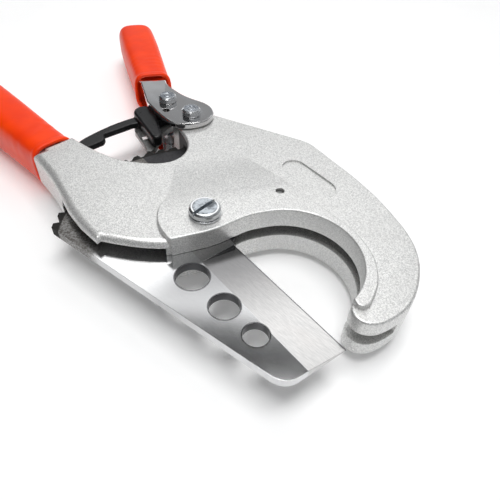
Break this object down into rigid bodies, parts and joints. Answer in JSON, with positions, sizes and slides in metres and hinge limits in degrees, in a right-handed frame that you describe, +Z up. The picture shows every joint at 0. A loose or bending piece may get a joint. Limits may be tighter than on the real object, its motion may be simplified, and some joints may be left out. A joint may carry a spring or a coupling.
{
  "type": "ratcheting pipe cutter",
  "caption": "Ratcheting plastic-pipe cutter with a hooked die-cast jaw, a toothed swinging blade, vinyl-covered handles, and a black locking latch.",
  "frame": {"origin": "under the centre of the bounding box, on the surface that the tool lies on", "axes": "+X from the handles to the jaw, +Y towards the moving handle, +Z up along the blade pivot, with the tool lying on its side"},
  "size_m": [0.3292, 0.1858, 0.0384],
  "materials": {
    "body_paint": "fine sand-textured silver paint over an aluminium die casting",
    "orange_vinyl": "glossy orange soft vinyl sleeve",
    "polished_chrome": "bright chrome-plated steel",
    "blade_steel": "ground and polished blade steel",
    "zinc_plate": "bright zinc-plated steel, slightly blue",
    "dark_steel": "hardened steel, dark grey",
    "spring_steel": "spring wire",
    "bronze": "oiled bronze",
    "black_nylon": "satin black glass-filled nylon",
    "white_nylon": "natural white nylon"
  },
  "bodies": {
    "frame": {"body_casting": "body_paint", "fixed_handle_grip": "orange_vinyl", "blade_pivot_screw": "zinc_plate", "screw_washer": "zinc_plate", "blade_pivot_nut": "zinc_plate", "blade_bush": "bronze", "thrust_washer": "bronze", "blade_return_spring": "spring_steel", "spring_anchor_pin": "zinc_plate", "stop_pin": "dark_steel", "handle_pivot_rivet": "zinc_plate", "handle_washer_top": "white_nylon", "handle_washer_bottom": "white_nylon", "handle_return_spring": "spring_steel", "holding_pawl_pin": "zinc_plate"},
    "blade": {"blade": "blade_steel"},
    "handle": {"moving_handle": "polished_chrome", "moving_handle_grip": "orange_vinyl", "pawl_rivet": "zinc_plate", "pawl_spacer_low": "zinc_plate", "pawl_spacer_high": "zinc_plate", "drive_pawl_spring": "spring_steel"},
    "drive_pawl": {"drive_pawl": "dark_steel"},
    "lock_latch": {"lock_latch": "black_nylon"},
    "holding_pawl": {"holding_pawl": "dark_steel"}
  },
  "joints": [
    {"name": "blade_swing", "type": "hinge", "parent": "frame", "child": "blade", "pos_m": [0.06265, -0.03858, 0.0194], "axis": [0, 0, 1], "range_deg": [-30, 52]},
    {"name": "handle_squeeze", "type": "hinge", "parent": "frame", "child": "handle", "pos_m": [-0.01085, 0.01872, 0.0182], "axis": [0, 0, 1], "range_deg": [-10, 30], "stiffness_Nm_per_rad": 1.5},
    {"name": "drive_pawl_swing", "type": "hinge", "parent": "handle", "child": "drive_pawl", "pos_m": [-0.03315, 0.01832, 0.0194], "axis": [0, 0, 1], "range_deg": [-42, 14]},
    {"name": "latch_swing", "type": "hinge", "parent": "handle", "child": "lock_latch", "pos_m": [-0.03315, 0.01832, 0.0252], "axis": [0, 0, 1], "range_deg": [-30, 10]},
    {"name": "holding_pawl_swing", "type": "hinge", "parent": "frame", "child": "holding_pawl", "pos_m": [-0.02385, -0.05358, 0.0194], "axis": [0, 0, 1], "range_deg": [-12, 0], "stiffness_Nm_per_rad": 0.02}
  ],
  "couplings": [
    {"joint": "drive_pawl_swing", "follows": "handle_squeeze", "ratio": -1.4},
    {"joint": "latch_swing", "follows": "handle_squeeze", "ratio": -1}
  ]
}
